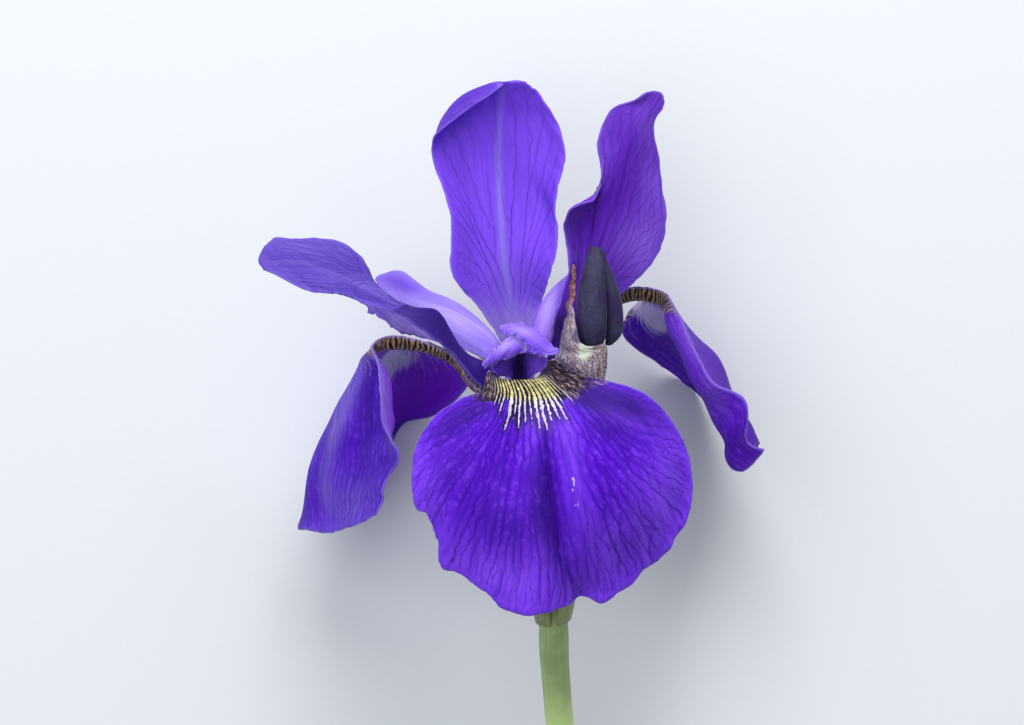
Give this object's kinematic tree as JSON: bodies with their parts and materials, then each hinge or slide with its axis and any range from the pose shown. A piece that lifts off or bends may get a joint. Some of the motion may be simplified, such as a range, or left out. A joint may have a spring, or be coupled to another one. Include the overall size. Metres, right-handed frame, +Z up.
{
  "type": "iris flower",
  "caption": "Cut iris flower: three hanging falls, three upright standards, petal-like styles, a furled bud in a papery bract and a short stem, lying as picked.",
  "frame": {"origin": "centre of the bounding box at the surface the flower lies on", "axes": "+Z up from the surface, +Y from the cut end of the stem towards the tip of the back standard, +X to the flower's right as it faces the observer above it"},
  "size_m": [0.0838, 0.1578, 0.0723],
  "materials": {
    "fall_violet": "velvety petal, deep blue-violet with darker veins",
    "standard_violet": "soft satin petal, mid violet with darker veins",
    "style_lilac": "soft satin petal, pale lilac",
    "tube_violet": "matt, brownish violet",
    "ovary_green": "matt green skin",
    "stem_green": "smooth waxy green skin",
    "spathe_green": "thin green sheath, papery at the edge",
    "stamen_cream": "matt cream pollen",
    "bud_dusk": "matt felted dusk violet",
    "bract_papery": "dry papery, speckled grey-brown"
  },
  "bodies": {
    "root": {"fall_front": "fall_violet", "fall_left": "fall_violet", "fall_right": "fall_violet", "standard_back": "standard_violet", "standard_left": "standard_violet", "standard_right": "standard_violet", "style_arm_front": "style_lilac", "style_arm_left": "style_lilac", "style_arm_right": "style_lilac", "style_crest_left": "style_lilac", "style_crest_right": "style_lilac", "style_column": "style_lilac", "bud_bract": "bract_papery", "spathe_left": "spathe_green", "spathe_right": "spathe_green", "perianth_tube": "tube_violet", "ovary": "ovary_green", "pedicel": "stem_green", "stem": "stem_green", "stamen_front": "stamen_cream", "stamen_left": "stamen_cream", "stamen_right": "stamen_cream", "bud_tepal_main": "bud_dusk", "bud_tepal_side": "bud_dusk", "bud_pedicel": "stem_green"}
  },
  "joints": []
}
